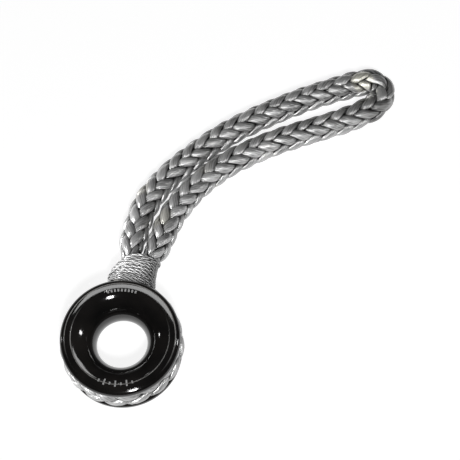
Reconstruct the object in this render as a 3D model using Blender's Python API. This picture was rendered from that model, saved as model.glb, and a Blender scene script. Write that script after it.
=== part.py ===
"""A low-friction thimble ring seized into the eye of an endless braided rope loop.

The ring lies flat on a table. The rope runs round its outer groove, both legs pass
through a seizing of small twine, and they meet again in a tight bight at the far end.

Frame: the origin is on the ring's axis at the table, +Z is the ring's axis, and +Y runs
from the ring towards the seizing. Lengths below are in millimetres, and MM turns them
into Blender's metres.
"""
import math

import bpy
from mathutils import Vector

MM = 0.001
GAP = 0.3                     # left between pieces that touch

# The ring
THROAT_RADIUS = 7.0           # the 14 mm hole
RIM_RADIUS = 16.5
RING_HEIGHT = 16.0
MID_HEIGHT = RING_HEIGHT / 2
GROOVE_RADIUS = 5.0           # a groove for 10 mm line
GROOVE_CENTRE = 13.8          # the groove arc's centre, from the ring's axis
BELL_RADIUS = 8.1             # the flare from the throat to each face
BELL_END_ANGLE = 103.2        # where the flare meets the ridge, in degrees
RIDGE_START = 13.45           # each face is flat between these two radii
RIDGE_END = 14.3
RIM_ROUNDING = 1.4
RIM_SHOULDER = 0.2            # how far the rim's rounding starts below the face
LIP_ROUNDING = 0.7
RING_SEGMENTS = 48

# The rope
ROPE_RADIUS = 3.9
CORE_RADIUS = 1.9             # the buried tail
TAIL_TIP_RADIUS = 0.5
COVER_WALL = ROPE_RADIUS - CORE_RADIUS - GAP
EYE_RADIUS = 13.2             # the rope's centre line in the groove
EYE_LEAVES_AT = 40.0          # polar angle where the rope leaves the groove, in degrees
EYE_POINTS = 11
POINT_SPACING = 4.2           # between the tubes' points
EYE_SPACING = 3.4
END_STEP = 0.5                # a short last step, so that each end face is square to the route

# The seizing
TWINE = 0.9
SEIZING_START = 17.6
SEIZING_END = 24.8
SEIZING_START_X = -0.3        # the sleeve leans a little, as the legs do
SEIZING_END_X = 0.6
SEIZING_START_HALF_WIDTH = 7.1
SEIZING_END_HALF_WIDTH = 6.25
SEIZING_HALF_HEIGHT = 4.6
RIDER_SLOPE = 0.32            # the riding turn crosses the others at this slope
RIDER_CENTRE_Y = 21.4

# Joints: the loop lifts about LIFT_AXIS and swings about SWING_AXIS
LIFT_AXIS = Vector((1.8, 34.0, 7.2))
LIFT_HALF = 4.2               # half the rope that bends at the lift
SWING_AXIS = Vector((16.4, 62.2, 4.1))
SWING_DIRECTION = 46.0        # the legs' heading there, in degrees from +X
SWING_HALF = 5.2
BIGHT_POINT = Vector((55.0, 87.0, 4.0))
BIGHT_DIRECTION = 28.0

# The rope's route beyond the groove: x, y, z and the rope's radius there.
# Both legs are listed from the ring outwards, and the bight joins left to right.
LEFT_LEG = [
    (-8.3, 10.9, 8.0, 3.9),
    (-6.0, 13.5, 8.0, 3.4),
    (-4.0, 15.9, 8.0, 2.7),
    (-3.1, 18.4, 8.0, 2.4),
    (-2.6, 21.3, 8.0, 2.4),
    (-2.0, 23.9, 8.0, 2.2),
    (-2.2, 26.3, 8.0, 2.7),
    (-2.5, 28.6, 7.9, 3.4),
    (-2.4, 32.4, 7.4, 3.7),
    (-1.9, 37.5, 6.7, 3.8),
    (-1.0, 43.0, 5.9, 3.9),
    (0.7, 47.6, 5.3, 3.9),
    (3.2, 52.2, 4.8, 3.9),
    (6.3, 56.8, 4.4, 3.9),
    (10.0, 61.3, 4.1, 3.9),
    (14.1, 65.7, 4.0, 3.9),
    (18.5, 69.9, 4.0, 3.9),
    (23.3, 73.8, 4.0, 3.9),
    (28.5, 77.6, 4.0, 3.9),
    (34.1, 81.3, 4.0, 3.9),
    (40.0, 85.0, 4.0, 3.9),
    (46.0, 88.3, 4.0, 3.9),
    (51.8, 91.3, 4.0, 3.9),
]
BIGHT = [
    (56.6, 93.5, 4.0, 3.9),
    (60.5, 94.4, 4.0, 3.9),
    (63.4, 92.8, 4.0, 3.9),
    (64.1, 89.9, 4.0, 3.9),
    (62.6, 86.8, 4.0, 3.9),
    (59.4, 83.9, 4.0, 3.9),
]
RIGHT_LEG = [
    (7.6, 11.3, 8.0, 3.9),
    (5.3, 13.7, 8.0, 3.4),
    (3.4, 16.0, 8.0, 2.7),
    (2.6, 18.4, 8.0, 2.4),
    (2.7, 21.3, 8.0, 2.4),
    (3.0, 23.9, 8.0, 2.2),
    (3.8, 26.3, 8.0, 2.7),
    (4.7, 28.6, 7.9, 3.4),
    (5.5, 32.5, 7.4, 3.65),
    (6.4, 37.2, 6.7, 3.8),
    (7.6, 41.6, 6.0, 3.9),
    (9.3, 45.6, 5.4, 3.9),
    (11.6, 49.8, 4.9, 3.9),
    (14.7, 54.1, 4.5, 3.9),
    (19.1, 59.0, 4.2, 3.9),
    (24.6, 63.6, 4.0, 3.9),
    (30.5, 67.7, 4.0, 3.9),
    (36.6, 71.3, 4.0, 3.9),
    (42.9, 74.6, 4.0, 3.9),
    (49.0, 77.7, 4.0, 3.9),
    (54.9, 80.9, 4.0, 3.9),
]

# Colour, roughness and metallic value of each material
FINISHES = {
    "black_anodised": ((0.012, 0.012, 0.014, 1), 0.12, 0.0),
    "grey_braid": ((0.19, 0.19, 0.19, 1), 0.45, 0.0),
    "buried_braid": ((0.24, 0.24, 0.24, 1), 0.5, 0.0),
    "pale_twine": ((0.62, 0.62, 0.6, 1), 0.55, 0.0),
}


def clear_scene():
    for obj in list(bpy.data.objects):
        bpy.data.objects.remove(obj, do_unlink=True)


def make_material(name):
    colour, roughness, metallic = FINISHES[name]
    material = bpy.data.materials.new(name)
    material.use_nodes = True
    shader = material.node_tree.nodes["Principled BSDF"]
    shader.inputs["Base Color"].default_value = colour
    shader.inputs["Roughness"].default_value = roughness
    shader.inputs["Metallic"].default_value = metallic
    return material


def add_object(name, data, finish):
    data.materials.append(make_material(finish))
    obj = bpy.data.objects.new(name, data)
    bpy.context.collection.objects.link(obj)
    return obj


def arc(centre, radius, start, end, count):
    """Points on a circle from one angle to another, in degrees."""
    points = []
    for i in range(count):
        angle = math.radians(start + (end - start) * i / (count - 1))
        points.append((centre[0] + radius * math.cos(angle), centre[1] + radius * math.sin(angle)))
    return points


# --- The ring -------------------------------------------------------------------------


def upper_half_profile():
    """The ring's section above mid height, from the groove's floor out and over to the throat."""
    top = MID_HEIGHT
    groove = arc((GROOVE_CENTRE, 0), GROOVE_RADIUS, 180, 90, 7)
    lip = arc((RIM_RADIUS - LIP_ROUNDING, GROOVE_RADIUS + LIP_ROUNDING), LIP_ROUNDING, -90, 0, 4)
    rim_centre = (RIM_RADIUS - RIM_ROUNDING, top - RIM_SHOULDER - RIM_ROUNDING)
    rim = arc(rim_centre, RIM_ROUNDING, 0, 90, 5)
    face = [(RIDGE_END, top), (RIDGE_START, top)]
    bell = arc((THROAT_RADIUS + BELL_RADIUS, 0), BELL_RADIUS, BELL_END_ANGLE, 180, 7)
    return groove + lip + rim + face + bell


def ring_section():
    """The whole section as one closed outline that runs down its outer side."""
    upper = upper_half_profile()
    lower = [(r, -z) for r, z in upper[1:-1]]
    outline = upper[::-1] + lower
    return [(r, z + MID_HEIGHT) for r, z in outline]


def make_ring():
    outline = ring_section()
    count = len(outline)
    mesh = bpy.data.meshes.new("thimble_ring")
    vertices = [(r * MM, 0, z * MM) for r, z in outline]
    edges = [(i, (i + 1) % count) for i in range(count)]
    mesh.from_pydata(vertices, edges, [])
    ring = add_object("thimble_ring", mesh, "black_anodised")
    screw = ring.modifiers.new("turn", "SCREW")
    screw.steps = RING_SEGMENTS
    screw.render_steps = RING_SEGMENTS
    screw.use_merge_vertices = True
    screw.merge_threshold = 0.00001
    screw.use_smooth_shade = True
    return ring


# --- The rope's route -----------------------------------------------------------------


def eye_points():
    """Route points round the groove, from the left leg by way of -Y to the right leg."""
    start = 180 - EYE_LEAVES_AT
    end = 360 + EYE_LEAVES_AT
    circle = arc((0, 0), EYE_RADIUS, start, end, EYE_POINTS)
    return [(x, y, MID_HEIGHT, ROPE_RADIUS) for x, y in circle]


def loop_points():
    """The endless loop, from the groove out along the right leg and back along the left."""
    return RIGHT_LEG + BIGHT[::-1] + LEFT_LEG[::-1] + eye_points()


def smooth_between(p0, p1, p2, p3, t):
    """A Catmull-Rom curve from p1 to p2."""
    return [
        0.5 * (2 * b + (c - a) * t + (2 * a - 5 * b + 4 * c - d) * t ** 2
               + (3 * b - a - 3 * c + d) * t ** 3)
        for a, b, c, d in zip(p0, p1, p2, p3)
    ]


class Route:
    """A smooth closed curve through points, read by the length along it."""

    def __init__(self, points, substeps=16):
        count = len(points)
        self.samples = []
        for i in range(count):
            four = [points[(i + k) % count] for k in (-1, 0, 1, 2)]
            for k in range(substeps):
                self.samples.append(smooth_between(*four, k / substeps))
        self.samples.append(self.samples[0])
        self.lengths = [0.0]
        for a, b in zip(self.samples, self.samples[1:]):
            self.lengths.append(self.lengths[-1] + math.dist(a[:3], b[:3]))
        self.total = self.lengths[-1]

    def at(self, length):
        """The x, y, z and radius at a length along the curve."""
        length = length % self.total
        index = next(i for i, s in enumerate(self.lengths) if s > length)
        before = self.lengths[index - 1]
        share = (length - before) / (self.lengths[index] - before)
        pair = zip(self.samples[index - 1], self.samples[index])
        return [a + (b - a) * share for a, b in pair]

    def crossings(self, point, heading):
        """Where the curve crosses an upright plane: on the right leg, then on the left."""
        normal = Vector((math.cos(math.radians(heading)), math.sin(math.radians(heading)), 0))
        sides = [(Vector(s[:3]) - point).dot(normal) for s in self.samples]
        found = []
        for i, (a, b) in enumerate(zip(sides, sides[1:])):
            if (a < 0) != (b < 0):
                step = self.lengths[i + 1] - self.lengths[i]
                found.append(self.lengths[i] + step * a / (a - b))
        return found

    def stretch(self, start, end, spacing):
        """Evenly spaced points between two lengths, with a short step at each end."""
        count = max(2, round((end - start) / spacing) + 1)
        lengths = [start + (end - start) * i / (count - 1) for i in range(count)]
        lengths[1:1] = [start + END_STEP]
        lengths[-1:-1] = [end - END_STEP]
        return [self.at(length) for length in lengths]


def leg_cuts(route):
    """Lengths along the route where its stretches meet, for each side, ring end first."""
    heading = Vector((math.cos(math.radians(SWING_DIRECTION)), math.sin(math.radians(SWING_DIRECTION)), 0))
    planes = [
        (LIFT_AXIS - Vector((0, LIFT_HALF, 0)), 90),
        (LIFT_AXIS + Vector((0, LIFT_HALF, 0)), 90),
        (SWING_AXIS - heading * SWING_HALF, SWING_DIRECTION),
        (SWING_AXIS + heading * SWING_HALF, SWING_DIRECTION),
        (BIGHT_POINT, BIGHT_DIRECTION),
    ]
    pairs = [route.crossings(*plane) for plane in planes]
    return {"right": [pair[0] for pair in pairs], "left": [pair[1] for pair in pairs]}


# --- Tubes ----------------------------------------------------------------------------


def make_tube(name, points, finish, radii=None, wall=None):
    """A round tube along points, solid with flat ends, or hollow if it has a wall."""
    curve = bpy.data.curves.new(name, "CURVE")
    curve.dimensions = "3D"
    curve.bevel_depth = MM
    curve.bevel_resolution = 3
    curve.use_fill_caps = wall is None
    spline = curve.splines.new("POLY")
    spline.points.add(len(points) - 1)
    for i, (target, point) in enumerate(zip(spline.points, points)):
        target.co = (point[0] * MM, point[1] * MM, point[2] * MM, 1)
        target.radius = radii[i] if radii else point[3]
    tube = add_object(name, curve, finish)
    if wall is not None:
        solidify = tube.modifiers.new("wall", "SOLIDIFY")
        solidify.thickness = wall * MM
        solidify.offset = -1
        solidify.use_even_offset = True
    return tube


def between(route, cuts, side, first, spacing=POINT_SPACING):
    """The stretch from cut number first to the next, clear of its neighbours at both ends."""
    ends = sorted((cuts[side][first], cuts[side][first + 1]))
    points = route.stretch(ends[0] + GAP / 2, ends[1] - GAP / 2, spacing)
    return points if side == "right" else points[::-1]


def make_eye(route, cuts):
    start = cuts["left"][0] + GAP / 2
    end = cuts["right"][0] + route.total - GAP / 2
    make_tube("braid_eye", route.stretch(start, end, EYE_SPACING), "grey_braid")


def make_leg(route, cuts, side):
    """One leg's cover and buried tail, ring end first."""
    root, lower, bend, upper = [between(route, cuts, side, i) for i in range(4)]
    make_tube(f"braid_root_{side}", root, "grey_braid")
    for place, points in (("lower", lower), ("bend", bend), ("upper", upper)):
        make_tube(f"braid_{place}_{side}", points, "grey_braid", wall=COVER_WALL)
        if place == "lower":
            continue
        make_tube(f"tail_{place}_{side}", points, "buried_braid", [CORE_RADIUS] * len(points))
    last = len(lower) - 1
    taper = [TAIL_TIP_RADIUS + (CORE_RADIUS - TAIL_TIP_RADIUS) * i / last for i in range(last + 1)]
    make_tube(f"tail_lower_{side}", lower, "buried_braid", taper)


def make_bight(route, cuts):
    start = cuts["right"][4] + GAP / 2
    end = cuts["left"][4] - GAP / 2
    make_tube("braid_bight", route.stretch(start, end, EYE_SPACING / 2), "grey_braid")


# --- The seizing ----------------------------------------------------------------------


def racetrack(centre_x, y, half_width, half_height, count=24):
    """A closed upright outline with round ends, about the rope's mid height."""
    flat = half_width - half_height
    points = []
    for i in range(count):
        angle = 2 * math.pi * (i + 0.5) / count
        shift = flat if math.cos(angle) > 0 else -flat
        x = centre_x + shift + half_height * math.cos(angle)
        points.append((x * MM, y * MM, (MID_HEIGHT + half_height * math.sin(angle)) * MM))
    return points


def sleeve_at(y):
    """The tapered sleeve's centre and half width at a place along it."""
    share = (y - SEIZING_START) / (SEIZING_END - SEIZING_START)
    centre_x = SEIZING_START_X + (SEIZING_END_X - SEIZING_START_X) * share
    half_width = SEIZING_START_HALF_WIDTH + (SEIZING_END_HALF_WIDTH - SEIZING_START_HALF_WIDTH) * share
    return centre_x, half_width


def make_seizing():
    """The round turns, side by side, as one tapered sleeve round both legs."""
    vertices = []
    for inset in (0, TWINE):
        for y in (SEIZING_START, SEIZING_END):
            centre_x, half_width = sleeve_at(y)
            vertices += racetrack(centre_x, y, half_width - inset, SEIZING_HALF_HEIGHT - inset)
    count = len(vertices) // 4
    outer_start, outer_end, inner_start, inner_end = [k * count for k in range(4)]
    faces = []
    for i in range(count):
        j = (i + 1) % count
        for a, b in (
            (outer_start, outer_end), (outer_end, inner_end),
            (inner_end, inner_start), (inner_start, outer_start),
        ):
            faces.append((a + i, b + i, b + j, a + j))
    mesh = bpy.data.meshes.new("seizing_turns")
    mesh.from_pydata(vertices, [], faces)
    mesh.shade_smooth()
    mesh.set_sharp_from_angle(angle=math.radians(40))
    return add_object("seizing_turns", mesh, "pale_twine")


def make_rider():
    """One riding turn of twine that crosses the others on a slant."""
    clearance = GAP + TWINE / 2
    rise = SEIZING_START_HALF_WIDTH * RIDER_SLOPE
    left_x, left_half_width = sleeve_at(RIDER_CENTRE_Y - rise)
    right_x, right_half_width = sleeve_at(RIDER_CENTRE_Y + rise)
    left = left_x - left_half_width - clearance
    right = right_x + right_half_width + clearance
    centre_x = (left + right) / 2
    outline = racetrack(centre_x, RIDER_CENTRE_Y, (right - left) / 2, SEIZING_HALF_HEIGHT + clearance)
    points = []
    for x, y, z in outline:
        slant = (x / MM - centre_x) * RIDER_SLOPE
        points.append((x / MM, y / MM + slant, z / MM, TWINE / 2))
    rider = make_tube("seizing_rider", points, "pale_twine")
    rider.data.bevel_resolution = 2
    rider.data.splines[0].use_cyclic_u = True
    return rider


def main():
    clear_scene()
    make_ring()
    route = Route(loop_points())
    cuts = leg_cuts(route)
    make_eye(route, cuts)
    for side in ("left", "right"):
        make_leg(route, cuts, side)
    make_bight(route, cuts)
    make_seizing()
    make_rider()


main()
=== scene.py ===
"""The looks of a thimble ring seized into the eye of an endless braided rope loop.

Places are in millimetres in the frame of the CAD part, and MM turns them into metres:
+Z is the ring's axis, the floor is z = 0, and +Y runs from the ring to the seizing.
"""
import math

import bpy
import numpy as np
from mathutils import Matrix, Vector


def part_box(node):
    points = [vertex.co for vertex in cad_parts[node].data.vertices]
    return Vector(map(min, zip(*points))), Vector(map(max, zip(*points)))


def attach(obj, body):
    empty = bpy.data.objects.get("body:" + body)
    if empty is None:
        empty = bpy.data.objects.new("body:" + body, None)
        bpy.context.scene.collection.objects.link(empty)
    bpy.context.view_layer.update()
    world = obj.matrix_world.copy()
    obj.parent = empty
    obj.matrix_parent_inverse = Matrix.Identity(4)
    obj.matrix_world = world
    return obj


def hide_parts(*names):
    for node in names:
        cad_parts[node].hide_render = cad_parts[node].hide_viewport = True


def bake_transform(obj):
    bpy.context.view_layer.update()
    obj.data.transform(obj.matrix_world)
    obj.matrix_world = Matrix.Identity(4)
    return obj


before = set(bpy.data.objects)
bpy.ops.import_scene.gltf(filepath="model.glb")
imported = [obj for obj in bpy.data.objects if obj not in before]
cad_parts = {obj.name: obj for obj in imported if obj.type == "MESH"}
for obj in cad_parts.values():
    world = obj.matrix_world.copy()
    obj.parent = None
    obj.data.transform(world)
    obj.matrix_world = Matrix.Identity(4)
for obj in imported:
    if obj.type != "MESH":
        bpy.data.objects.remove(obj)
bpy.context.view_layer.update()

MM = 0.001

# The ring, from the CAD node's box
RING_LOW, RING_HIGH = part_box("thimble_ring")
RIM_RADIUS = RING_HIGH.x / MM
RING_HEIGHT = RING_HIGH.z / MM
MID_HEIGHT = RING_HEIGHT / 2
THROAT_RADIUS = 7.0
RING_SEGMENTS = 288
GROOVE_CENTRE = 13.8          # the groove's round floor, as a circle in the ring's section
GROOVE_RADIUS = 5.0
LIP_ROUNDING = 0.7
RIM_ROUNDING = 1.4
BELL_ROUNDING = 8.1           # the flare from the face down to the throat
BAND_INNER = 13.45            # the raised band on the face
BAND_WIDTH = 1.6
HIGHLIGHT_RADII = (BAND_INNER, 15.1)  # the band's edges, where pale highlight lines are painted
HIGHLIGHT_LINE = 0.09
MARK_PROUD = 0.012

# The rope
ROPE_RADIUS = 3.9
EYE_RADIUS = 13.2
EYE_LEAVES_AT = 40.0          # polar angle where the rope leaves the groove, in degrees
EYE_POINTS = 11
SUBSTEPS = 24                 # samples of the route between two of its points
PITCH_SIXTHS = 57             # V's of braid in the whole loop
STRANDS_A_SIDE = 6
FULLNESS = 1.05               # the braid bulges a little past the solid that stands for it
CUT_Y = 45.0                  # the loop is made in two pieces that meet here, on both legs
TAIL_Y = 44.0                 # the buried ends reach this far down from the bight

# The seizing, and the edges of the two legs inside it
TWINE = 0.9
TWINE_RADIUS = 0.46 * TWINE   # drawn a little thin, so that the turns stand apart
PLIES = 3
TWINE_LAY = 5.5
PLY_DEPTH = 0.45              # how deep the grooves between the plies go, as a share
TWINE_STEP = 0.18             # between the rings of points along the twine
SEIZING_START = 16.95
TURNS = 10
TURN_PITCH = 0.77
ARCH = 0.8                    # how far the last turn rises over the crotch,
BUNCH = 2.3                   # and how far it is drawn back at the left
RIPPLE = 0.1
SEIZED_Y = (17.0, 20.0, 22.0, 24.0, 26.0)
SEIZED_LEFT = (-6.5, -5.8, -5.0, -4.4, -4.2)
SEIZED_RIGHT = (5.6, 5.2, 5.2, 5.3, 5.4)
SEIZED_HALF_WIDTH = 2.6       # the least half width of a leg, squeezed against the other
SEIZED_HALF_HEIGHT = 4.35
SEIZING_SQUARENESS = 2.4      # the turns lie on a superellipse, and 2 would be a plain one

# The camera
CAMERA_PLACE = (41.6, -84.0, 316.1)
CAMERA_AZIMUTH = 7.9          # degrees, turned left of +Y
CAMERA_ELEVATION = 68.2
CAMERA_ROLL = 0.435
CAMERA_LENS = 90.0

# The lamps: name, heading from LIGHT_AIM, distance and two sides in metres, radiance, and
# what they light. Those that light only the ring or the rope are there for its highlights.
LIGHT_AIM = (0, 22, 5)
LAMPS = (
    ("key_softbox", (0.19, -0.5, 0.85), 0.7, 0.08, 0.08, 110.0, "all"),
    ("far_softbox", (-0.08, 0.5, 0.87), 0.7, 0.5, 0.19, 5.5, "ring"),
    ("right_strip", (0.77, 0.27, 0.58), 0.8, 0.06, 0.15, 25.0, "ring"),
    ("left_strip", (-0.93, 0.07, 0.36), 0.8, 0.05, 0.05, 25.0, "ring"),
    ("left_window", (-0.83, -0.15, 0.53), 0.3, 0.05, 0.05, 175.0, "rope"),
    ("front_window", (-0.3, -0.8, 0.54), 0.3, 0.05, 0.05, 145.0, "rope"),
    ("right_window", (0.85, -0.25, 0.45), 0.8, 0.16, 0.16, 22.0, "rope"),
)
BACKDROP_STRENGTH = 0.93
FLOOR_HALF_WIDTH = 1.5        # in metres
FLOOR_DROP = 0.1              # the floor lies this far below the rope, so that they don't flicker

# The rope's route beyond the groove: x, y, z and half width, as in the CAD part.
LEFT_LEG = [
    (-8.3, 10.9, 8.0, 3.9),
    (-6.0, 13.5, 8.0, 3.4),
    (-4.0, 15.9, 8.0, 2.7),
    (-3.1, 18.4, 8.0, 2.4),
    (-2.6, 21.3, 8.0, 2.4),
    (-2.0, 23.9, 8.0, 2.2),
    (-2.2, 26.3, 8.0, 2.7),
    (-2.5, 28.6, 7.9, 3.4),
    (-2.4, 32.4, 7.4, 3.7),
    (-1.9, 37.5, 6.7, 3.8),
    (-1.0, 43.0, 5.9, 3.9),
    (0.7, 47.6, 5.3, 3.9),
    (3.2, 52.2, 4.8, 3.9),
    (6.3, 56.8, 4.4, 3.9),
    (10.0, 61.3, 4.1, 3.9),
    (14.1, 65.7, 4.0, 3.9),
    (18.5, 69.9, 4.0, 3.9),
    (23.3, 73.8, 4.0, 3.9),
    (28.5, 77.6, 4.0, 3.9),
    (34.1, 81.3, 4.0, 3.9),
    (40.0, 85.0, 4.0, 3.9),
    (46.0, 88.3, 4.0, 3.9),
    (51.8, 91.3, 4.0, 3.9),
]
BIGHT = [
    (56.6, 93.5, 4.0, 3.9),
    (60.5, 94.4, 4.0, 3.9),
    (63.4, 92.8, 4.0, 3.9),
    (64.1, 89.9, 4.0, 3.9),
    (62.6, 86.8, 4.0, 3.9),
    (59.4, 83.9, 4.0, 3.9),
]
RIGHT_LEG = [
    (7.6, 11.3, 8.0, 3.9),
    (5.3, 13.7, 8.0, 3.4),
    (3.4, 16.0, 8.0, 2.7),
    (2.6, 18.4, 8.0, 2.4),
    (2.7, 21.3, 8.0, 2.4),
    (3.0, 23.9, 8.0, 2.2),
    (3.8, 26.3, 8.0, 2.7),
    (4.7, 28.6, 7.9, 3.4),
    (5.5, 32.5, 7.4, 3.65),
    (6.4, 37.2, 6.7, 3.8),
    (7.6, 41.6, 6.0, 3.9),
    (9.3, 45.6, 5.4, 3.9),
    (11.6, 49.8, 4.9, 3.9),
    (14.7, 54.1, 4.5, 3.9),
    (19.1, 59.0, 4.2, 3.9),
    (24.6, 63.6, 4.0, 3.9),
    (30.5, 67.7, 4.0, 3.9),
    (36.6, 71.3, 4.0, 3.9),
    (42.9, 74.6, 4.0, 3.9),
    (49.0, 77.7, 4.0, 3.9),
    (54.9, 80.9, 4.0, 3.9),
]


def smooth(t):
    """A smooth step from 0 to 1."""
    t = np.clip(t, 0, 1)
    return t * t * (3 - 2 * t)


# --- Camera, light and floor ----------------------------------------------------------


def make_camera():
    """The camera, where the photo's outlines put it."""
    data = bpy.data.cameras.new("camera")
    data.lens = CAMERA_LENS
    data.clip_start = 0.01
    camera = bpy.data.objects.new("camera", data)
    bpy.context.scene.collection.objects.link(camera)
    turn = Matrix.Rotation(math.radians(CAMERA_AZIMUTH), 4, "Z")
    tip = Matrix.Rotation(math.radians(90 - CAMERA_ELEVATION), 4, "X")
    roll = Matrix.Rotation(math.radians(CAMERA_ROLL), 4, "Z")
    camera.matrix_world = Matrix.Translation(Vector(CAMERA_PLACE) * MM) @ turn @ tip @ roll
    bpy.context.scene.camera = camera


def area_light(name, heading, distance, size, size_y, radiance, only):
    """A softbox that faces the object from a heading, as bright as it looks from there.

    Where a collection is given, the lamp lights nothing else.
    """
    aim = Vector(LIGHT_AIM) * MM
    data = bpy.data.lights.new(name, "AREA")
    data.shape = "RECTANGLE"
    data.size = size
    data.size_y = size_y
    data.energy = radiance * math.pi * size * size_y
    light = bpy.data.objects.new(name, data)
    bpy.context.scene.collection.objects.link(light)
    light.location = aim + Vector(heading).normalized() * distance
    light.rotation_euler = (aim - light.location).to_track_quat("-Z", "Y").to_euler()
    light.visible_camera = False
    if only:
        light.light_linking.receiver_collection = only


def make_lights(ring_pieces, rope_pieces):
    """The lamps, and a plain backdrop that only the camera sees."""
    world = bpy.data.worlds.new("studio")
    bpy.context.scene.world = world
    world.use_nodes = True
    background = world.node_tree.nodes["Background"]
    background.inputs["Color"].default_value = (1, 1, 1, 1)
    background.inputs["Strength"].default_value = BACKDROP_STRENGTH
    world.cycles_visibility.diffuse = False
    world.cycles_visibility.glossy = False
    lit = {"all": None}
    for name, pieces in (("ring", ring_pieces), ("rope", rope_pieces)):
        lit[name] = bpy.data.collections.new(f"lit_with_the_{name}")
        for piece in pieces:
            lit[name].objects.link(piece)
    for *lamp, lights in LAMPS:
        area_light(*lamp, lit[lights])
    bpy.context.scene.view_settings.view_transform = "Standard"


def make_floor():
    """A pale floor that glows a little, so that it stays as even as the photo's."""
    mesh = bpy.data.meshes.new("floor")
    corners = [(-1, -1), (1, -1), (1, 1), (-1, 1)]
    places = [(x * FLOOR_HALF_WIDTH, y * FLOOR_HALF_WIDTH, -FLOOR_DROP * MM) for x, y in corners]
    mesh.from_pydata(places, [], [(0, 1, 2, 3)])
    floor = bpy.data.objects.new("floor", mesh)
    bpy.context.scene.collection.objects.link(floor)
    *_, material, shader = new_material("pale_floor")
    shader.inputs["Base Color"].default_value = (0.36, 0.36, 0.36, 1)
    shader.inputs["Emission Color"].default_value = (1, 1, 1, 1)
    shader.inputs["Emission Strength"].default_value = 0.88
    shader.inputs["Roughness"].default_value = 0.7
    shader.inputs["Specular IOR Level"].default_value = 0.2
    mesh.materials.append(material)


# --- Materials ------------------------------------------------------------------------


def new_material(name):
    """A new material, as its nodes, its links, itself and its shader."""
    material = bpy.data.materials.new(name)
    material.use_nodes = True
    nodes, links = material.node_tree.nodes, material.node_tree.links
    return nodes, links, material, nodes["Principled BSDF"]


def add_node(nodes, kind, **values):
    """A node with its inputs set by name, and its own settings by attribute."""
    node = nodes.new(kind)
    for key, value in values.items():
        if hasattr(node, key):
            setattr(node, key, value)
        else:
            node.inputs[key.replace("_", " ")].default_value = value
    return node


def ramp(nodes, stops):
    """A colour ramp from (position, grey or colour) stops."""
    node = nodes.new("ShaderNodeValToRGB")
    elements = node.color_ramp.elements
    while len(elements) < len(stops):
        elements.new(0.5)
    for element, (position, colour) in zip(elements, stops):
        if not isinstance(colour, tuple):
            colour = (colour, colour, colour)
        element.position = position
        element.color = (*colour, 1)
    return node


def braid_material(name, dark, light, fibre_scale):
    """Silky coated fibre: fine lines along each strand, a tone for each strand with painted shade
    where it lies low, wear, and a darkening.
    """
    nodes, links, material, shader = new_material(name)
    uv = add_node(nodes, "ShaderNodeUVMap", uv_map="strand")
    stretch = add_node(nodes, "ShaderNodeMapping")
    stretch.inputs["Scale"].default_value = (fibre_scale, fibre_scale * 0.07, 1)
    links.new(uv.outputs["UV"], stretch.inputs["Vector"])
    fibres = add_node(nodes, "ShaderNodeTexNoise", Scale=1.0, Detail=5.0, Roughness=0.65)
    links.new(stretch.outputs["Vector"], fibres.inputs["Vector"])
    coarse = add_node(nodes, "ShaderNodeMapping")
    coarse.inputs["Scale"].default_value = (0.7, 0.22, 1)
    links.new(uv.outputs["UV"], coarse.inputs["Vector"])
    patches = add_node(nodes, "ShaderNodeTexNoise", Scale=1.0, Detail=2.0, Roughness=0.5)
    links.new(coarse.outputs["Vector"], patches.inputs["Vector"])
    # The tone carries painted shade where a strand lies low, and each strand's own tone.
    tone_and_shade = add_node(nodes, "ShaderNodeAttribute", attribute_name="tone_and_shade")
    mixed = tone_and_shade.outputs["Fac"]
    for noise, share in ((fibres, 0.4), (patches, 0.3)):
        total = add_node(nodes, "ShaderNodeMath", operation="MULTIPLY_ADD")
        total.inputs[1].default_value = share
        links.new(noise.outputs["Fac"], total.inputs[0])
        links.new(mixed, total.inputs[2])
        mixed = total.outputs[0]
    colours = ramp(nodes, [(0.3, 0.005), (0.57, 0.5 * dark), (0.83, dark), (1.0, light)])
    links.new(mixed, colours.inputs["Fac"])
    wear_and_highlight = add_node(nodes, "ShaderNodeAttribute", attribute_name="wear_and_highlight")
    tint = ramp(nodes, [
        (0.0, (0.5, 0.5, 0.49)),
        (PLAIN, (1.0, 1.0, 1.0)),
        (YELLOWED, (1.05, 1.03, 0.95)),
        (1.0, (1.35, 1.33, 1.17)),
    ])
    links.new(wear_and_highlight.outputs["Fac"], tint.inputs["Fac"])
    stained = add_node(nodes, "ShaderNodeVectorMath", operation="MULTIPLY")
    links.new(colours.outputs["Color"], stained.inputs[0])
    links.new(tint.outputs["Color"], stained.inputs[1])
    links.new(stained.outputs["Vector"], shader.inputs["Base Color"])
    bump = add_node(nodes, "ShaderNodeBump", Strength=0.6, Distance=0.00015)
    links.new(fibres.outputs["Fac"], bump.inputs["Height"])
    links.new(bump.outputs["Normal"], shader.inputs["Normal"])
    gloss = ramp(nodes, [(0.3, 0.28), (0.75, 0.4)])
    links.new(fibres.outputs["Fac"], gloss.inputs["Fac"])
    links.new(gloss.outputs["Color"], shader.inputs["Roughness"])
    shader.inputs["Metallic"].default_value = 0.65
    shader.inputs["Coat Weight"].default_value = 0.6
    shader.inputs["Coat Roughness"].default_value = 0.16
    links.new(bump.outputs["Normal"], shader.inputs["Coat Normal"])
    shader.inputs["Specular IOR Level"].default_value = 0.8
    return material


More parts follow.
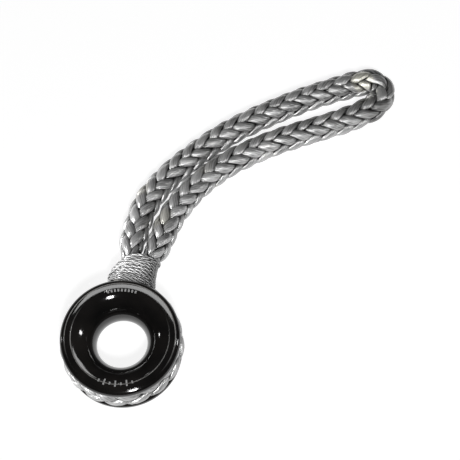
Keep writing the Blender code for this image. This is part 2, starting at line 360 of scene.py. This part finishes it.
def twine_material():
    """Pale, waxed fibre, with painted shade down between the plies and a painted shadow over the
    seizing's right.
    """
    nodes, links, material, shader = new_material("plied_twine")
    uv = add_node(nodes, "ShaderNodeUVMap", uv_map="strand")
    stretch = add_node(nodes, "ShaderNodeMapping")
    stretch.inputs["Scale"].default_value = (3, 0.8, 1)
    links.new(uv.outputs["UV"], stretch.inputs["Vector"])
    fibres = add_node(nodes, "ShaderNodeTexNoise", Scale=2.0, Detail=4.0, Roughness=0.6)
    links.new(stretch.outputs["Vector"], fibres.inputs["Vector"])
    # The tone carries painted shade between the plies and a painted shadow on the right.
    ply = add_node(nodes, "ShaderNodeAttribute", attribute_name="tone_and_shade")
    mixed = add_node(nodes, "ShaderNodeMath", operation="MULTIPLY_ADD")
    mixed.inputs[1].default_value = 0.4
    links.new(fibres.outputs["Fac"], mixed.inputs[0])
    links.new(ply.outputs["Fac"], mixed.inputs[2])
    colours = ramp(nodes, [(0.35, 0.01), (0.75, 0.12), (1.0, 0.34)])
    links.new(mixed.outputs[0], colours.inputs["Fac"])
    links.new(colours.outputs["Color"], shader.inputs["Base Color"])
    bump = add_node(nodes, "ShaderNodeBump", Strength=0.4, Distance=0.00005)
    links.new(fibres.outputs["Fac"], bump.inputs["Height"])
    links.new(bump.outputs["Normal"], shader.inputs["Normal"])
    shader.inputs["Roughness"].default_value = 0.27
    shader.inputs["Specular IOR Level"].default_value = 1.0
    return material


def ring_material():
    """Glossy black anodising, with smears in its gloss, turning lines, and painted highlight
    lines on the band's edges.
    """
    nodes, links, material, shader = new_material("black_anodising")
    place = add_node(nodes, "ShaderNodeTexCoord")
    smears = add_node(nodes, "ShaderNodeTexNoise", Scale=90.0, Detail=4.0, Roughness=0.55)
    links.new(place.outputs["Object"], smears.inputs["Vector"])
    gloss = ramp(nodes, [(0.35, 0.055), (0.75, 0.1)])
    links.new(smears.outputs["Fac"], gloss.inputs["Fac"])
    colours = ramp(nodes, [(0.3, (0.006, 0.006, 0.006)), (0.75, (0.018, 0.016, 0.015))])
    links.new(smears.outputs["Fac"], colours.inputs["Fac"])
    # Noise that breaks up the painted highlight lines.
    highlight_noise = add_node(nodes, "ShaderNodeTexNoise", Scale=420.0, Detail=3.0, Roughness=0.6)
    links.new(place.outputs["Object"], highlight_noise.inputs["Vector"])
    patchy = ramp(nodes, [(0.3, 0.45), (0.6, 1.0)])
    links.new(highlight_noise.outputs["Fac"], patchy.inputs["Fac"])
    worn_and_highlit = add_node(nodes, "ShaderNodeAttribute", attribute_name="worn_and_highlit")
    wear_and_highlight = add_node(nodes, "ShaderNodeMath", operation="MULTIPLY")
    links.new(worn_and_highlit.outputs["Fac"], wear_and_highlight.inputs[0])
    links.new(patchy.outputs["Color"], wear_and_highlight.inputs[1])
    # Where the painted highlight lines lie, the colour is pale grey and the gloss rougher.
    for name, fresh, highlit in (
        ("Base Color", colours, (0.34, 0.33, 0.32, 1)),
        ("Roughness", gloss, (0.32, 0.32, 0.32, 1)),
    ):
        mix = add_node(nodes, "ShaderNodeMix", data_type="RGBA")
        for socket in mix.inputs:
            if socket.name == "B" and socket.type == "RGBA":
                socket.default_value = highlit
            if socket.name == "A" and socket.type == "RGBA":
                links.new(fresh.outputs["Color"], socket)
        links.new(wear_and_highlight.outputs[0], mix.inputs["Factor"])
        result = next(s for s in mix.outputs if s.type == "RGBA")
        links.new(result, shader.inputs[name])
    uv = add_node(nodes, "ShaderNodeUVMap", uv_map="turned")
    lines = add_node(nodes, "ShaderNodeTexWave", Scale=14.0, Distortion=0.6, Detail=2.0)
    lines.bands_direction = "Y"
    links.new(uv.outputs["UV"], lines.inputs["Vector"])
    bump = add_node(nodes, "ShaderNodeBump", Strength=0.05, Distance=0.00001)
    links.new(lines.outputs["Fac"], bump.inputs["Height"])
    links.new(bump.outputs["Normal"], shader.inputs["Normal"])
    shader.inputs["IOR"].default_value = 1.6
    return material


def mark_material():
    """The pale grey of a mark cut through the finish."""
    nodes, links, material, shader = new_material("etched_mark")
    place = add_node(nodes, "ShaderNodeTexCoord")
    speckle = add_node(nodes, "ShaderNodeTexNoise", Scale=2500.0, Detail=3.0)
    links.new(place.outputs["Object"], speckle.inputs["Vector"])
    colours = ramp(nodes, [(0.3, 0.26), (0.7, 0.4)])
    links.new(speckle.outputs["Fac"], colours.inputs["Fac"])
    links.new(colours.outputs["Color"], shader.inputs["Base Color"])
    shader.inputs["Roughness"].default_value = 0.6
    return material


# --- The rope's route -----------------------------------------------------------------


def arc(centre, radius, start, end, count):
    """Points on a circle from one angle to another, in degrees."""
    angles = np.radians(np.linspace(start, end, count))
    return np.stack([centre[0] + radius * np.cos(angles), centre[1] + radius * np.sin(angles)], 1)


def loop_points():
    """The endless loop, from the groove out along the right leg and back along the left."""
    circle = arc((0, 0), EYE_RADIUS, 180 - EYE_LEAVES_AT, 360 + EYE_LEAVES_AT, EYE_POINTS)
    eye = [(x, y, MID_HEIGHT, ROPE_RADIUS) for x, y in circle]
    return np.array(RIGHT_LEG + BIGHT[::-1] + LEFT_LEG[::-1] + eye)


class Route:
    """A smooth closed curve through the rope's route points, read by the length along it."""

    def __init__(self, points):
        before, after, beyond = (np.roll(points, -k, 0) for k in (-1, 1, 2))
        t = (np.arange(SUBSTEPS) / SUBSTEPS)[None, :, None]
        a, b, c, d = (p[:, None, :] for p in (before, points, after, beyond))
        curve = 0.5 * (
            2 * b + (c - a) * t + (2 * a - 5 * b + 4 * c - d) * t ** 2
            + (3 * b - a - 3 * c + d) * t ** 3
        )
        samples = curve.reshape(-1, 4)
        samples = np.vstack([samples, samples[:1]])
        steps = np.linalg.norm(np.diff(samples[:, :3], axis=0), axis=1)
        self.lengths = np.concatenate([[0], np.cumsum(steps)])
        self.total = self.lengths[-1]
        self.samples = samples
        tangents = np.gradient(samples[:, :3], axis=0)
        ends = samples[1, :3] - samples[-2, :3]
        tangents[0] = ends
        tangents[-1] = ends
        self.tangents = tangents / np.linalg.norm(tangents, axis=1)[:, None]
        self.pitch = STRANDS_A_SIDE * self.total / PITCH_SIXTHS

    def read(self, table, s):
        """The rows of a table of samples at lengths s."""
        s = np.mod(s, self.total)
        return np.stack([np.interp(s, self.lengths, column) for column in table.T], -1)

    def at(self, s):
        """Centre, sideways and upward directions, and half width at lengths s."""
        row = self.read(self.samples, s)
        tangent = self.read(self.tangents, s)
        tangent /= np.linalg.norm(tangent, axis=-1, keepdims=True)
        up = np.array([0, 0, 1.0]) - tangent * tangent[..., 2:3]
        up /= np.linalg.norm(up, axis=-1, keepdims=True)
        side = np.cross(tangent, up)
        return row[..., :3], side, up, row[..., 3]

    def crossings(self, y):
        """Where the legs cross a line across them: on the right leg, then on the left."""
        offset = self.samples[:, 1] - y
        index = np.nonzero(np.diff(np.sign(offset)) != 0)[0]
        share = offset[index] / (offset[index] - offset[index + 1])
        return self.lengths[index] + share * np.diff(self.lengths)[index]


ROUTE = Route(loop_points())


# --- Braid ----------------------------------------------------------------------------

STRAND_WIDTH = 2.95
STRAND_THICKNESS = 1.6
COVER_RADIUS = 2.4            # the middle of the braid's two layers
LAYER_STEP = 0.75             # how far a strand goes out over the others and in under them
LEVEL_STEEPNESS = 2.6         # how sharply a strand goes from over to under,
LEVEL_FLATNESS = 0.35         # and how much of its level is flat between
MEAN_RADIUS = 3.3             # sets the strands' slope
YARNS = 5
YARN_GROOVE = 0.11            # depth of the grooves between the yarns of a strand
YARN_TWISTS = 18              # in a lap of the loop
DARK_DEPTH = 2.9              # a strand is painted in shade up to this radius, and lighter above it
TONE_RISE = 0.5
TONE_RANGE = 0.7              # from a strand's painted shade to its lightest
YARN_SHADE = 2.5              # how much painted shade darkens a strand down in its grooves
STRAND_CONTRAST = 0.22        # between one strand and another
RIGHT_SEAM = -105.0           # turns the braid so that a row of V's lies on top, in degrees
LEFT_SEAM = -45.0

# How uneven the strands are: the amount, and the waves in a lap of the loop. The waves are
# whole numbers, so that the loop's two pieces meet.
UNEVEN_WIDTH = (0.08, 15)
UNEVEN_PLACE = (0.055, 21)
UNEVEN_LEAN = (0.15, 17)

# The coating's wear, from 0 for darkened to 1 for rubbed pale, and two spots by the bight,
# one rubbed pale and one darkened: centre, radius and the width of the soft edge.
PLAIN = 0.3
YELLOWED = 0.42
PALE_SPOT = ((57.4, 93.0, 7.0), 4.4, 2.4)
DARK_SPOT = ((64.5, 86.5, 5.0), 10.0, 5.0)


def braid_turn(s):
    """How far the braid is rolled about the rope, so that the V's lie on top of both legs."""
    right_end, left_end = BIGHT_SPAN
    at_bight = smooth((s - right_end) / (left_end - right_end))
    after = smooth((s - EYE_SPAN[0]) / (EYE_SPAN[1] - EYE_SPAN[0]))
    return np.radians(RIGHT_SEAM + (LEFT_SEAM - RIGHT_SEAM) * (at_bight - after))


def half_height(half_width):
    """The rope keeps its girth, so where it is squeezed narrow it stands taller."""
    taller = ROPE_RADIUS + 0.25 * (ROPE_RADIUS - half_width)
    return np.clip(taller, ROPE_RADIUS, SEIZED_HALF_HEIGHT)


def level_of(x):
    """Over two crossings and under two, as a level from 1 to -1."""
    wave = np.cos(np.pi / 2 * (x - 0.5))
    flat = np.tanh(LEVEL_STEEPNESS * wave) / math.tanh(LEVEL_STEEPNESS)
    return LEVEL_FLATNESS * flat + (1 - LEVEL_FLATNESS) * wave


def strand_section(face_points, back_points):
    """Offsets round a strand: across it from -1 to 1, out from its middle, and how outward."""
    across = np.sin(np.linspace(-np.pi / 2, np.pi / 2, face_points))
    crown = np.sqrt(1 - across ** 2)
    back = np.linspace(1, -1, back_points + 2)[1:-1]
    hollow = -np.sqrt(1 - back ** 2)
    return np.concatenate([across, back]), np.concatenate([crown, hollow])


def uneven(unevenness, lap, phase):
    """A wave along a strand, from one of the pairs above."""
    amount, waves = unevenness
    return amount * np.sin(waves * lap + phase)


def braid_strand(start, end, hand, index, scale, section, step, phases):
    """One strand's rings of surface points, its texture coordinates and its painted shade where
    it lies low.

    hand is 1 for strands that wind to the right and -1 for the left. Levels depend on the
    strands of the other hand, so that each float ends along the edge of its neighbour.
    """
    across, crown = (values[None, :] for values in section)
    count = int(round((end - start) / step)) + 1
    s_mid = np.linspace(start, end, count)[:, None]
    slope = math.atan(2 * math.pi * MEAN_RADIUS / ROUTE.pitch)
    sixth = math.pi / 3
    lap = 2 * np.pi * s_mid / ROUTE.total
    width = STRAND_WIDTH * (1 + uneven(UNEVEN_WIDTH, lap, phases[0]))
    u = width / 2 * across
    wander = uneven(UNEVEN_PLACE, lap, phases[1])
    place = hand * 2 * np.pi * s_mid / ROUTE.pitch + index * sixth + wander
    place = place + u * math.cos(slope) / MEAN_RADIUS
    s = s_mid - hand * u * math.sin(slope)
    other = (place + hand * 2 * np.pi * s / ROUTE.pitch) / sixth
    level = hand * level_of(other + index)
    lean = uneven(UNEVEN_LEAN, lap, phases[2])
    groove = 0.5 - 0.5 * np.cos(2 * np.pi * (YARNS / 2 * across + 0.5) + YARN_TWISTS * lap)
    groove = YARN_GROOVE * groove ** 3 * (crown > 0)
    out = COVER_RADIUS + LAYER_STEP * level
    out = out + STRAND_THICKNESS / 2 * crown + lean * across - groove
    painted_lightness = np.clip((out - DARK_DEPTH) / TONE_RISE, 0, 1) - groove * YARN_SHADE
    centre, side, up, half_width = ROUTE.at(s)
    half_width = np.maximum(half_width, SEIZED_HALF_WIDTH)
    place = place + braid_turn(np.mod(s, ROUTE.total))
    wide = (half_width / ROPE_RADIUS * scale)[..., None]
    tall = (half_height(half_width) / ROPE_RADIUS * scale)[..., None]
    out = out[..., None]
    points = centre + side * wide * out * np.sin(place)[..., None]
    points = points + up * tall * out * np.cos(place)[..., None]
    points[..., 2] = np.maximum(points[..., 2], 0)
    along = s_mid / math.cos(slope) + 37.0 * index + 11.0 * hand
    return points, np.stack([u + 0 * s, along + 0 * u], -1), painted_lightness


def rings_mesh(name, tubes):
    """One mesh of closed tubes with flat ends, each from (rings of points, texture, tone with
    painted shade).
    """
    vertices, quads, uvs, caps, base = [], [], [], [], 0
    for points, texture, tone_and_shade in tubes:
        count, around = points.shape[:2]
        vertices.append(points.reshape(-1, 3))
        i, j = np.meshgrid(np.arange(count - 1), np.arange(around), indexing="ij")
        k = (j + 1) % around
        corners = ((i, j), (i, k), (i + 1, k), (i + 1, j))
        quads.append(base + np.stack([a * around + b for a, b in corners], -1).reshape(-1, 4))
        uvs.append(np.stack([texture[a, b] for a, b in corners], -2).reshape(-1, 2))
        caps.append([base + v for v in range(around)][::-1])
        caps.append([base + (count - 1) * around + v for v in range(around)])
        base += count * around
    quads = np.vstack(quads)
    mesh = bpy.data.meshes.new(name)
    mesh.from_pydata((np.vstack(vertices) * MM).tolist(), [], quads.tolist() + caps)
    texture = np.zeros((len(mesh.loops), 2))
    texture[:quads.size] = np.vstack(uvs)
    mesh.uv_layers.new(name="strand").data.foreach_set("uv", texture.ravel())
    tones = np.concatenate([np.ravel(tone_and_shade) for _, _, tone_and_shade in tubes])
    mesh.attributes.new("tone_and_shade", "FLOAT", "POINT").data.foreach_set("value", tones)
    mesh.polygons.foreach_set("use_smooth", np.arange(len(mesh.polygons)) < len(quads))
    loop_edges = np.zeros(len(mesh.loops), np.int32)
    mesh.loops.foreach_get("edge_index", loop_edges)
    sharp = np.zeros(len(mesh.edges), bool)
    sharp[loop_edges[quads.size:]] = True
    mesh.attributes.new("sharp_edge", "BOOLEAN", "EDGE").data.foreach_set("value", sharp)
    obj = bpy.data.objects.new(name, mesh)
    bpy.context.scene.collection.objects.link(obj)
    return obj


def within(points, spot):
    """1 inside one of the spots above, and 0 outside it."""
    centre, radius, edge = spot
    return smooth((radius - np.linalg.norm(points - centre, axis=-1)) / edge)


def wear_at(points):
    """The coating's wear and a darkening at points of the rope, on the scale given above.

    The rope is darker towards the bight and where it goes round the ring.
    """
    x, y, z = np.moveaxis(points, -1, 0)
    patches = np.sin(0.37 * x + 0.21 * z + 1.0) * np.sin(0.29 * y - 0.33 * z)
    patches = smooth(2.5 * patches * np.sin(0.11 * (x + y)) - 0.6)
    pale = within(points, PALE_SPOT)
    darkening = 0.35 * smooth((y - 38) / 30) + 0.4 * smooth((2 - y) / 10)
    darkening = np.maximum(darkening, within(points, DARK_SPOT))
    worn_and_highlit = np.maximum((YELLOWED - PLAIN) * patches, (1 - PLAIN) * pale)
    return PLAIN + worn_and_highlit - PLAIN * darkening * (1 - pale)


def make_braid(name, start, end, material, scale=1.0, section=(19, 4), step=0.48, seed=4):
    """Twelve strands, six of each hand, along the route from start to end.

    scale is its thickness, section the points on a strand's face and back, and step the
    length between two rings of points. Each strand runs on as another of its hand after a
    lap, so the two share their draws.
    """
    rng = np.random.default_rng(seed)
    outline = strand_section(*section)
    tubes = []
    for hand in (1, -1):
        laps = rng.uniform(0, 1, (STRANDS_A_SIDE // 2, 4))
        for index in range(STRANDS_A_SIDE):
            *draws, tone_and_shade = laps[index % len(laps)]
            phases = 2 * np.pi * np.array(draws)
            points, texture, painted_lightness = braid_strand(
                start, end, hand, index, scale, outline, step, phases
            )
            # Painted shade where the strand lies low or in a groove, and a random tone for each
            # strand.
            tone_and_shade = TONE_RANGE * painted_lightness + STRAND_CONTRAST * (tone_and_shade - 0.5)
            tubes.append((points, texture, tone_and_shade))
    braid = rings_mesh(name, tubes)
    wear_and_highlight = wear_at(np.concatenate([points.reshape(-1, 3) for points, _, _ in tubes]))
    braid.data.attributes.new("wear_and_highlight", "FLOAT", "POINT").data.foreach_set("value", wear_and_highlight)
    braid.data.materials.append(material)
    return braid


def centreline(start, end, step=2.0):
    """Points in metres along the rope's middle, for a cord's path."""
    s = np.linspace(start, end, int((end - start) / step) + 2)
    return (ROUTE.at(s)[0] * MM).tolist()


# --- The seizing ----------------------------------------------------------------------


def leg_edges(y):
    """The seized legs' outer edges, left and right, at a place along them."""
    left = np.interp(y, SEIZED_Y, SEIZED_LEFT)
    right = np.interp(y, SEIZED_Y, SEIZED_RIGHT)
    return left, right


def twine_points(angle, y, proud):
    """Points on the outside of both legs together, for twine that lies proud of them."""
    left, right = leg_edges(y)
    half_width = (right - left) / 2 + proud
    tall = SEIZED_HALF_HEIGHT + proud
    cos, sin = np.cos(angle), np.sin(angle)
    power = 2 / SEIZING_SQUARENESS
    x = (left + right) / 2 + half_width * np.sign(cos) * np.abs(cos) ** power
    z = MID_HEIGHT + tall * np.sign(sin) * np.abs(sin) ** power
    return np.stack([x, y + 0 * x, z], -1)


def twine_tube(path, around=15):
    """Rings round a path, shaped as plied twine, with texture coordinates and tone.

    The tone is painted shade, dark down between the plies, and a painted shadow over the
    seizing's right.
    """
    tangent = np.gradient(path, axis=0)
    tangent /= np.linalg.norm(tangent, axis=1)[:, None]
    s = np.concatenate([[0], np.cumsum(np.linalg.norm(np.diff(path, axis=0), axis=1))])
    first = np.cross(tangent, (0, 1.0, 0.05))
    first /= np.linalg.norm(first, axis=1)[:, None]
    second = np.cross(tangent, first)
    angle = (2 * np.pi * np.arange(around) / around)[None, :]
    twist = 2 * np.pi * s[:, None] / TWINE_LAY
    lobes = np.abs(np.cos(PLIES / 2 * (angle - twist)))
    r = TWINE_RADIUS * (1 - PLY_DEPTH + PLY_DEPTH * lobes ** 0.7)
    points = path[:, None] + r[..., None] * (
        first[:, None] * np.cos(angle)[..., None] + second[:, None] * np.sin(angle)[..., None]
    )
    texture = np.stack([(angle - twist) + 0 * r, s[:, None] + 0 * r], -1)
    # A painted shadow that darkens the seizing's right side.
    painted_shadow = 0.3 * smooth((path[:, :1] - 2.4) / 3.0)
    return points, texture, lobes - painted_shadow + 0 * r


def even(path, step):
    """The same path with evenly spaced points."""
    s = np.concatenate([[0], np.cumsum(np.linalg.norm(np.diff(path, axis=0), axis=1))])
    t = np.linspace(0, s[-1], int(s[-1] / step))
    return np.stack([np.interp(t, s, column) for column in path.T], 1)


def round_turns():
    """The helix of turns, drawn up into an arch over the crotch and bunched at the left."""
    angle = np.linspace(-0.5 * np.pi, (2 * TURNS - 0.5) * np.pi, TURNS * 160)
    share = (angle - angle[0]) / (angle[-1] - angle[0])
    over, left = np.clip(np.sin(angle), 0, 1), np.clip(-np.cos(angle), 0, 1)
    arch = ARCH * smooth((share - 0.3) / 0.7) * over ** 1.5
    bunch = BUNCH * share ** 1.5 * left ** 1.3
    ripple = RIPPLE * np.sin(3.1 * angle + 1.0) * np.sin(0.37 * angle)
    y = SEIZING_START + TURN_PITCH * TURNS * share + arch - bunch + ripple
    proud = TWINE / 2 + 0.12 * np.sin(0.5 * angle) * bunch
    return even(twine_points(angle, y, proud), TWINE_STEP)


def riding_turn(start, end, y_start, y_end, proud, haste=1.0):
    """A turn that crosses the others on a slant, between two angles in degrees."""
    share = np.linspace(0, 1, 240)
    angle = np.radians(start + (end - start) * share)
    y = y_start + (y_end - y_start) * smooth(share * haste)
    rise = proud * np.sin(np.pi * share) ** 0.35
    return even(twine_points(angle, y, TWINE * 0.45 + rise), TWINE_STEP)


def make_seizing(material):
    """The round turns, and the two turns that ride over them on a slant."""
    turns = rings_mesh("seizing_turns_twine", [twine_tube(round_turns())])
    riders = [
        twine_tube(riding_turn(205, -35, 17.6, 24.6, TWINE * 0.8, 1.5)),
        twine_tube(riding_turn(190, -20, 20.4, 24.9, TWINE * 0.85)),
    ]
    rider = rings_mesh("seizing_riding_turns", riders)
    for piece, node in ((turns, "seizing_turns"), (rider, "seizing_rider")):
        piece.data.materials.append(material)
        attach(piece, "eye")
        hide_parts(node)
    return [turns, rider]


# --- The ring -------------------------------------------------------------------------


def half_profile():
    """The ring's section above mid height, from the groove's floor out and over to the throat.

    The face is a low crown between two edges, and the rim rolls off outside it.
    """
    top = MID_HEIGHT
    groove = arc((GROOVE_CENTRE, 0), GROOVE_RADIUS, 180, 90, 18)
    lip_centre = (RIM_RADIUS - LIP_ROUNDING, GROOVE_RADIUS + LIP_ROUNDING)
    lip = arc(lip_centre, LIP_ROUNDING, -90, 0, 8)
    rim_centre = (RIM_RADIUS - RIM_ROUNDING, top - 0.35 - RIM_ROUNDING)
    rim = arc(rim_centre, RIM_ROUNDING, 0, 78, 14)
    step = arc((BAND_INNER + BAND_WIDTH + 0.01, top - 0.32), 0.14, 25, 75, 4)
    share = np.linspace(1, 0, 20)
    crown = np.stack([BAND_INNER + BAND_WIDTH * share, top - 0.17 * share ** 2], 1)
    edge = arc((BAND_INNER + 0.05, top - 0.16), 0.16, 100, 150, 4)
    bell = arc((THROAT_RADIUS + BELL_ROUNDING, 0), BELL_ROUNDING, 103, 180, 48)
    return np.vstack([groove, lip, rim, step, crown, edge, bell])


def make_ring(material):
    """The section turned about the ring's axis, with painted highlight lines on its band's edges
    marked on its points.
    """
    upper = half_profile()
    lower = upper[1:-1] * [1, -1]
    outline = np.vstack([upper[::-1], lower])
    angle = 2 * np.pi * np.arange(RING_SEGMENTS) / RING_SEGMENTS
    count = len(outline)
    r, z = outline[:, 0], outline[:, 1] + MID_HEIGHT
    x = r[:, None] * np.cos(angle)
    y = r[:, None] * np.sin(angle)
    vertices = np.stack([x, y, np.broadcast_to(z[:, None], x.shape)], -1)
    i, j = np.meshgrid(np.arange(count), np.arange(RING_SEGMENTS), indexing="ij")
    i2, j2 = (i + 1) % count, (j + 1) % RING_SEGMENTS
    faces = np.stack([
        i * RING_SEGMENTS + j, i2 * RING_SEGMENTS + j,
        i2 * RING_SEGMENTS + j2, i * RING_SEGMENTS + j2,
    ], -1).reshape(-1, 4)
    mesh = bpy.data.meshes.new("thimble_ring_turned")
    mesh.from_pydata((vertices.reshape(-1, 3) * MM).tolist(), [], faces.tolist())
    layer = mesh.uv_layers.new(name="turned")
    sides = np.diff(np.vstack([outline, outline[:1]]), axis=0)
    girth = np.concatenate([[0], np.cumsum(np.linalg.norm(sides, axis=1))])
    corners = [(j, i), (j, i + 1), (j + 1, i + 1), (j + 1, i)]
    uv = np.stack([np.stack([a / RING_SEGMENTS * 8, girth[b] / 8], -1) for a, b in corners], -2)
    layer.data.foreach_set("uv", uv.ravel())
    worn_and_highlit = np.zeros(x.shape)
    # A pale line painted along each edge of the band as a highlight, fading out round one side.
    for radius, towards in zip(HIGHLIGHT_RADII, (-1, 1)):
        line = np.clip(1.5 - np.abs(r - radius) / HIGHLIGHT_LINE, 0, 1) * (z > MID_HEIGHT + 5)
        fade = smooth(0.75 + 1.2 * towards * np.sin(angle))
        worn_and_highlit = np.maximum(worn_and_highlit, line[:, None] * fade)
    mesh.attributes.new("worn_and_highlit", "FLOAT", "POINT").data.foreach_set("value", np.ravel(worn_and_highlit))
    mesh.shade_smooth()
    ring = bpy.data.objects.new("thimble_ring_turned", mesh)
    bpy.context.scene.collection.objects.link(ring)
    mesh.materials.append(material)
    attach(ring, "thimble")
    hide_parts("thimble_ring")
    return ring


def face_height(radius):
    """The front face's height at a radius, inside the rim's rounding."""
    upper = half_profile()
    face = upper[upper[:, 1] > 6.0]
    face = face[np.argsort(face[:, 0])]
    return np.interp(radius, face[:, 0], face[:, 1]) + MID_HEIGHT


def mark(vertices, faces, centre_angle, width, inner, outer):
    """A small bar that follows the ring's face, between two radii."""
    rows, columns = 8, 4
    base = len(vertices)
    half = width / 2 / ((inner + outer) / 2)
    for turn in centre_angle + np.linspace(-half, half, columns):
        for r in np.linspace(inner, outer, rows):
            height = face_height(r) + MARK_PROUD
            vertices.append((r * math.cos(turn) * MM, r * math.sin(turn) * MM, height * MM))
    for c in range(columns - 1):
        for k in range(rows - 1):
            a = base + c * rows + k
            faces.append((a, a + 1, a + rows + 1, a + rows))


def make_marks(material):
    """Generic graduations where such rings carry their markings."""
    vertices, faces = [], []
    for i in range(-3, 4):
        inner, outer = (12.9, 13.7) if i % 2 else (12.35, 14.1)
        mark(vertices, faces, math.radians(-85 + 6.6 * i), 0.42, inner, outer)
    for i in range(9):
        mark(vertices, faces, math.radians(81 + 4.2 * i), 0.5, 12.75, 13.5)
    mesh = bpy.data.meshes.new("graduations")
    mesh.from_pydata(vertices, [], faces)
    marks = bpy.data.objects.new("graduations", mesh)
    bpy.context.scene.collection.objects.link(marks)
    mesh.materials.append(material)
    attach(marks, "thimble")
    return marks


# --- Everything -----------------------------------------------------------------------

make_camera()
make_floor()

CUT_RIGHT, CUT_LEFT = ROUTE.crossings(CUT_Y)
# The braid rolls about the rope from one leg's seam to the other's over these two spans.
BIGHT_SPAN = (
    ROUTE.lengths[len(RIGHT_LEG) * SUBSTEPS] - 12,
    ROUTE.lengths[(len(RIGHT_LEG) + len(BIGHT)) * SUBSTEPS] + 12,
)
EYE_SPAN = (ROUTE.crossings(20.0)[1], ROUTE.total - 16.0)

COVER = braid_material("coated_braid", 0.22, 0.44, 9.0)
BURIED = braid_material("buried_braid_fibre", 0.12, 0.3, 9.0)

EYE_ROPE = make_braid("braid_round_ring", CUT_LEFT, CUT_RIGHT + ROUTE.total, COVER, FULLNESS)
LOOP_ROPE = make_braid("braid_loop", CUT_RIGHT, CUT_LEFT, COVER, FULLNESS)
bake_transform(EYE_ROPE)
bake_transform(LOOP_ROPE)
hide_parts("braid_eye", "braid_root_left", "braid_root_right")
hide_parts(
    "braid_lower_left", "braid_lower_right", "braid_bend_left", "braid_bend_right",
    "braid_upper_left", "braid_upper_right", "braid_bight",
)

SEIZING = make_seizing(twine_material())
RING = make_ring(ring_material())
MARKS = make_marks(mark_material())
make_lights([RING, MARKS], [EYE_ROPE, LOOP_ROPE, *SEIZING])

for side, start, end in (
    ("right", ROUTE.crossings(TAIL_Y)[0], BIGHT_SPAN[0] + 8),
    ("left", BIGHT_SPAN[1] - 8, ROUTE.crossings(TAIL_Y)[1]),
):
    tail = make_braid(
        f"buried_tail_{side}", start, end, BURIED, scale=0.44, section=(5, 3), step=1.0
    )
    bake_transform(tail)
    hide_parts(f"tail_lower_{side}", f"tail_bend_{side}", f"tail_upper_{side}")

EYE_PATH = centreline(CUT_LEFT, CUT_RIGHT + ROUTE.total)
LOOP_PATH = centreline(CUT_RIGHT, CUT_LEFT)
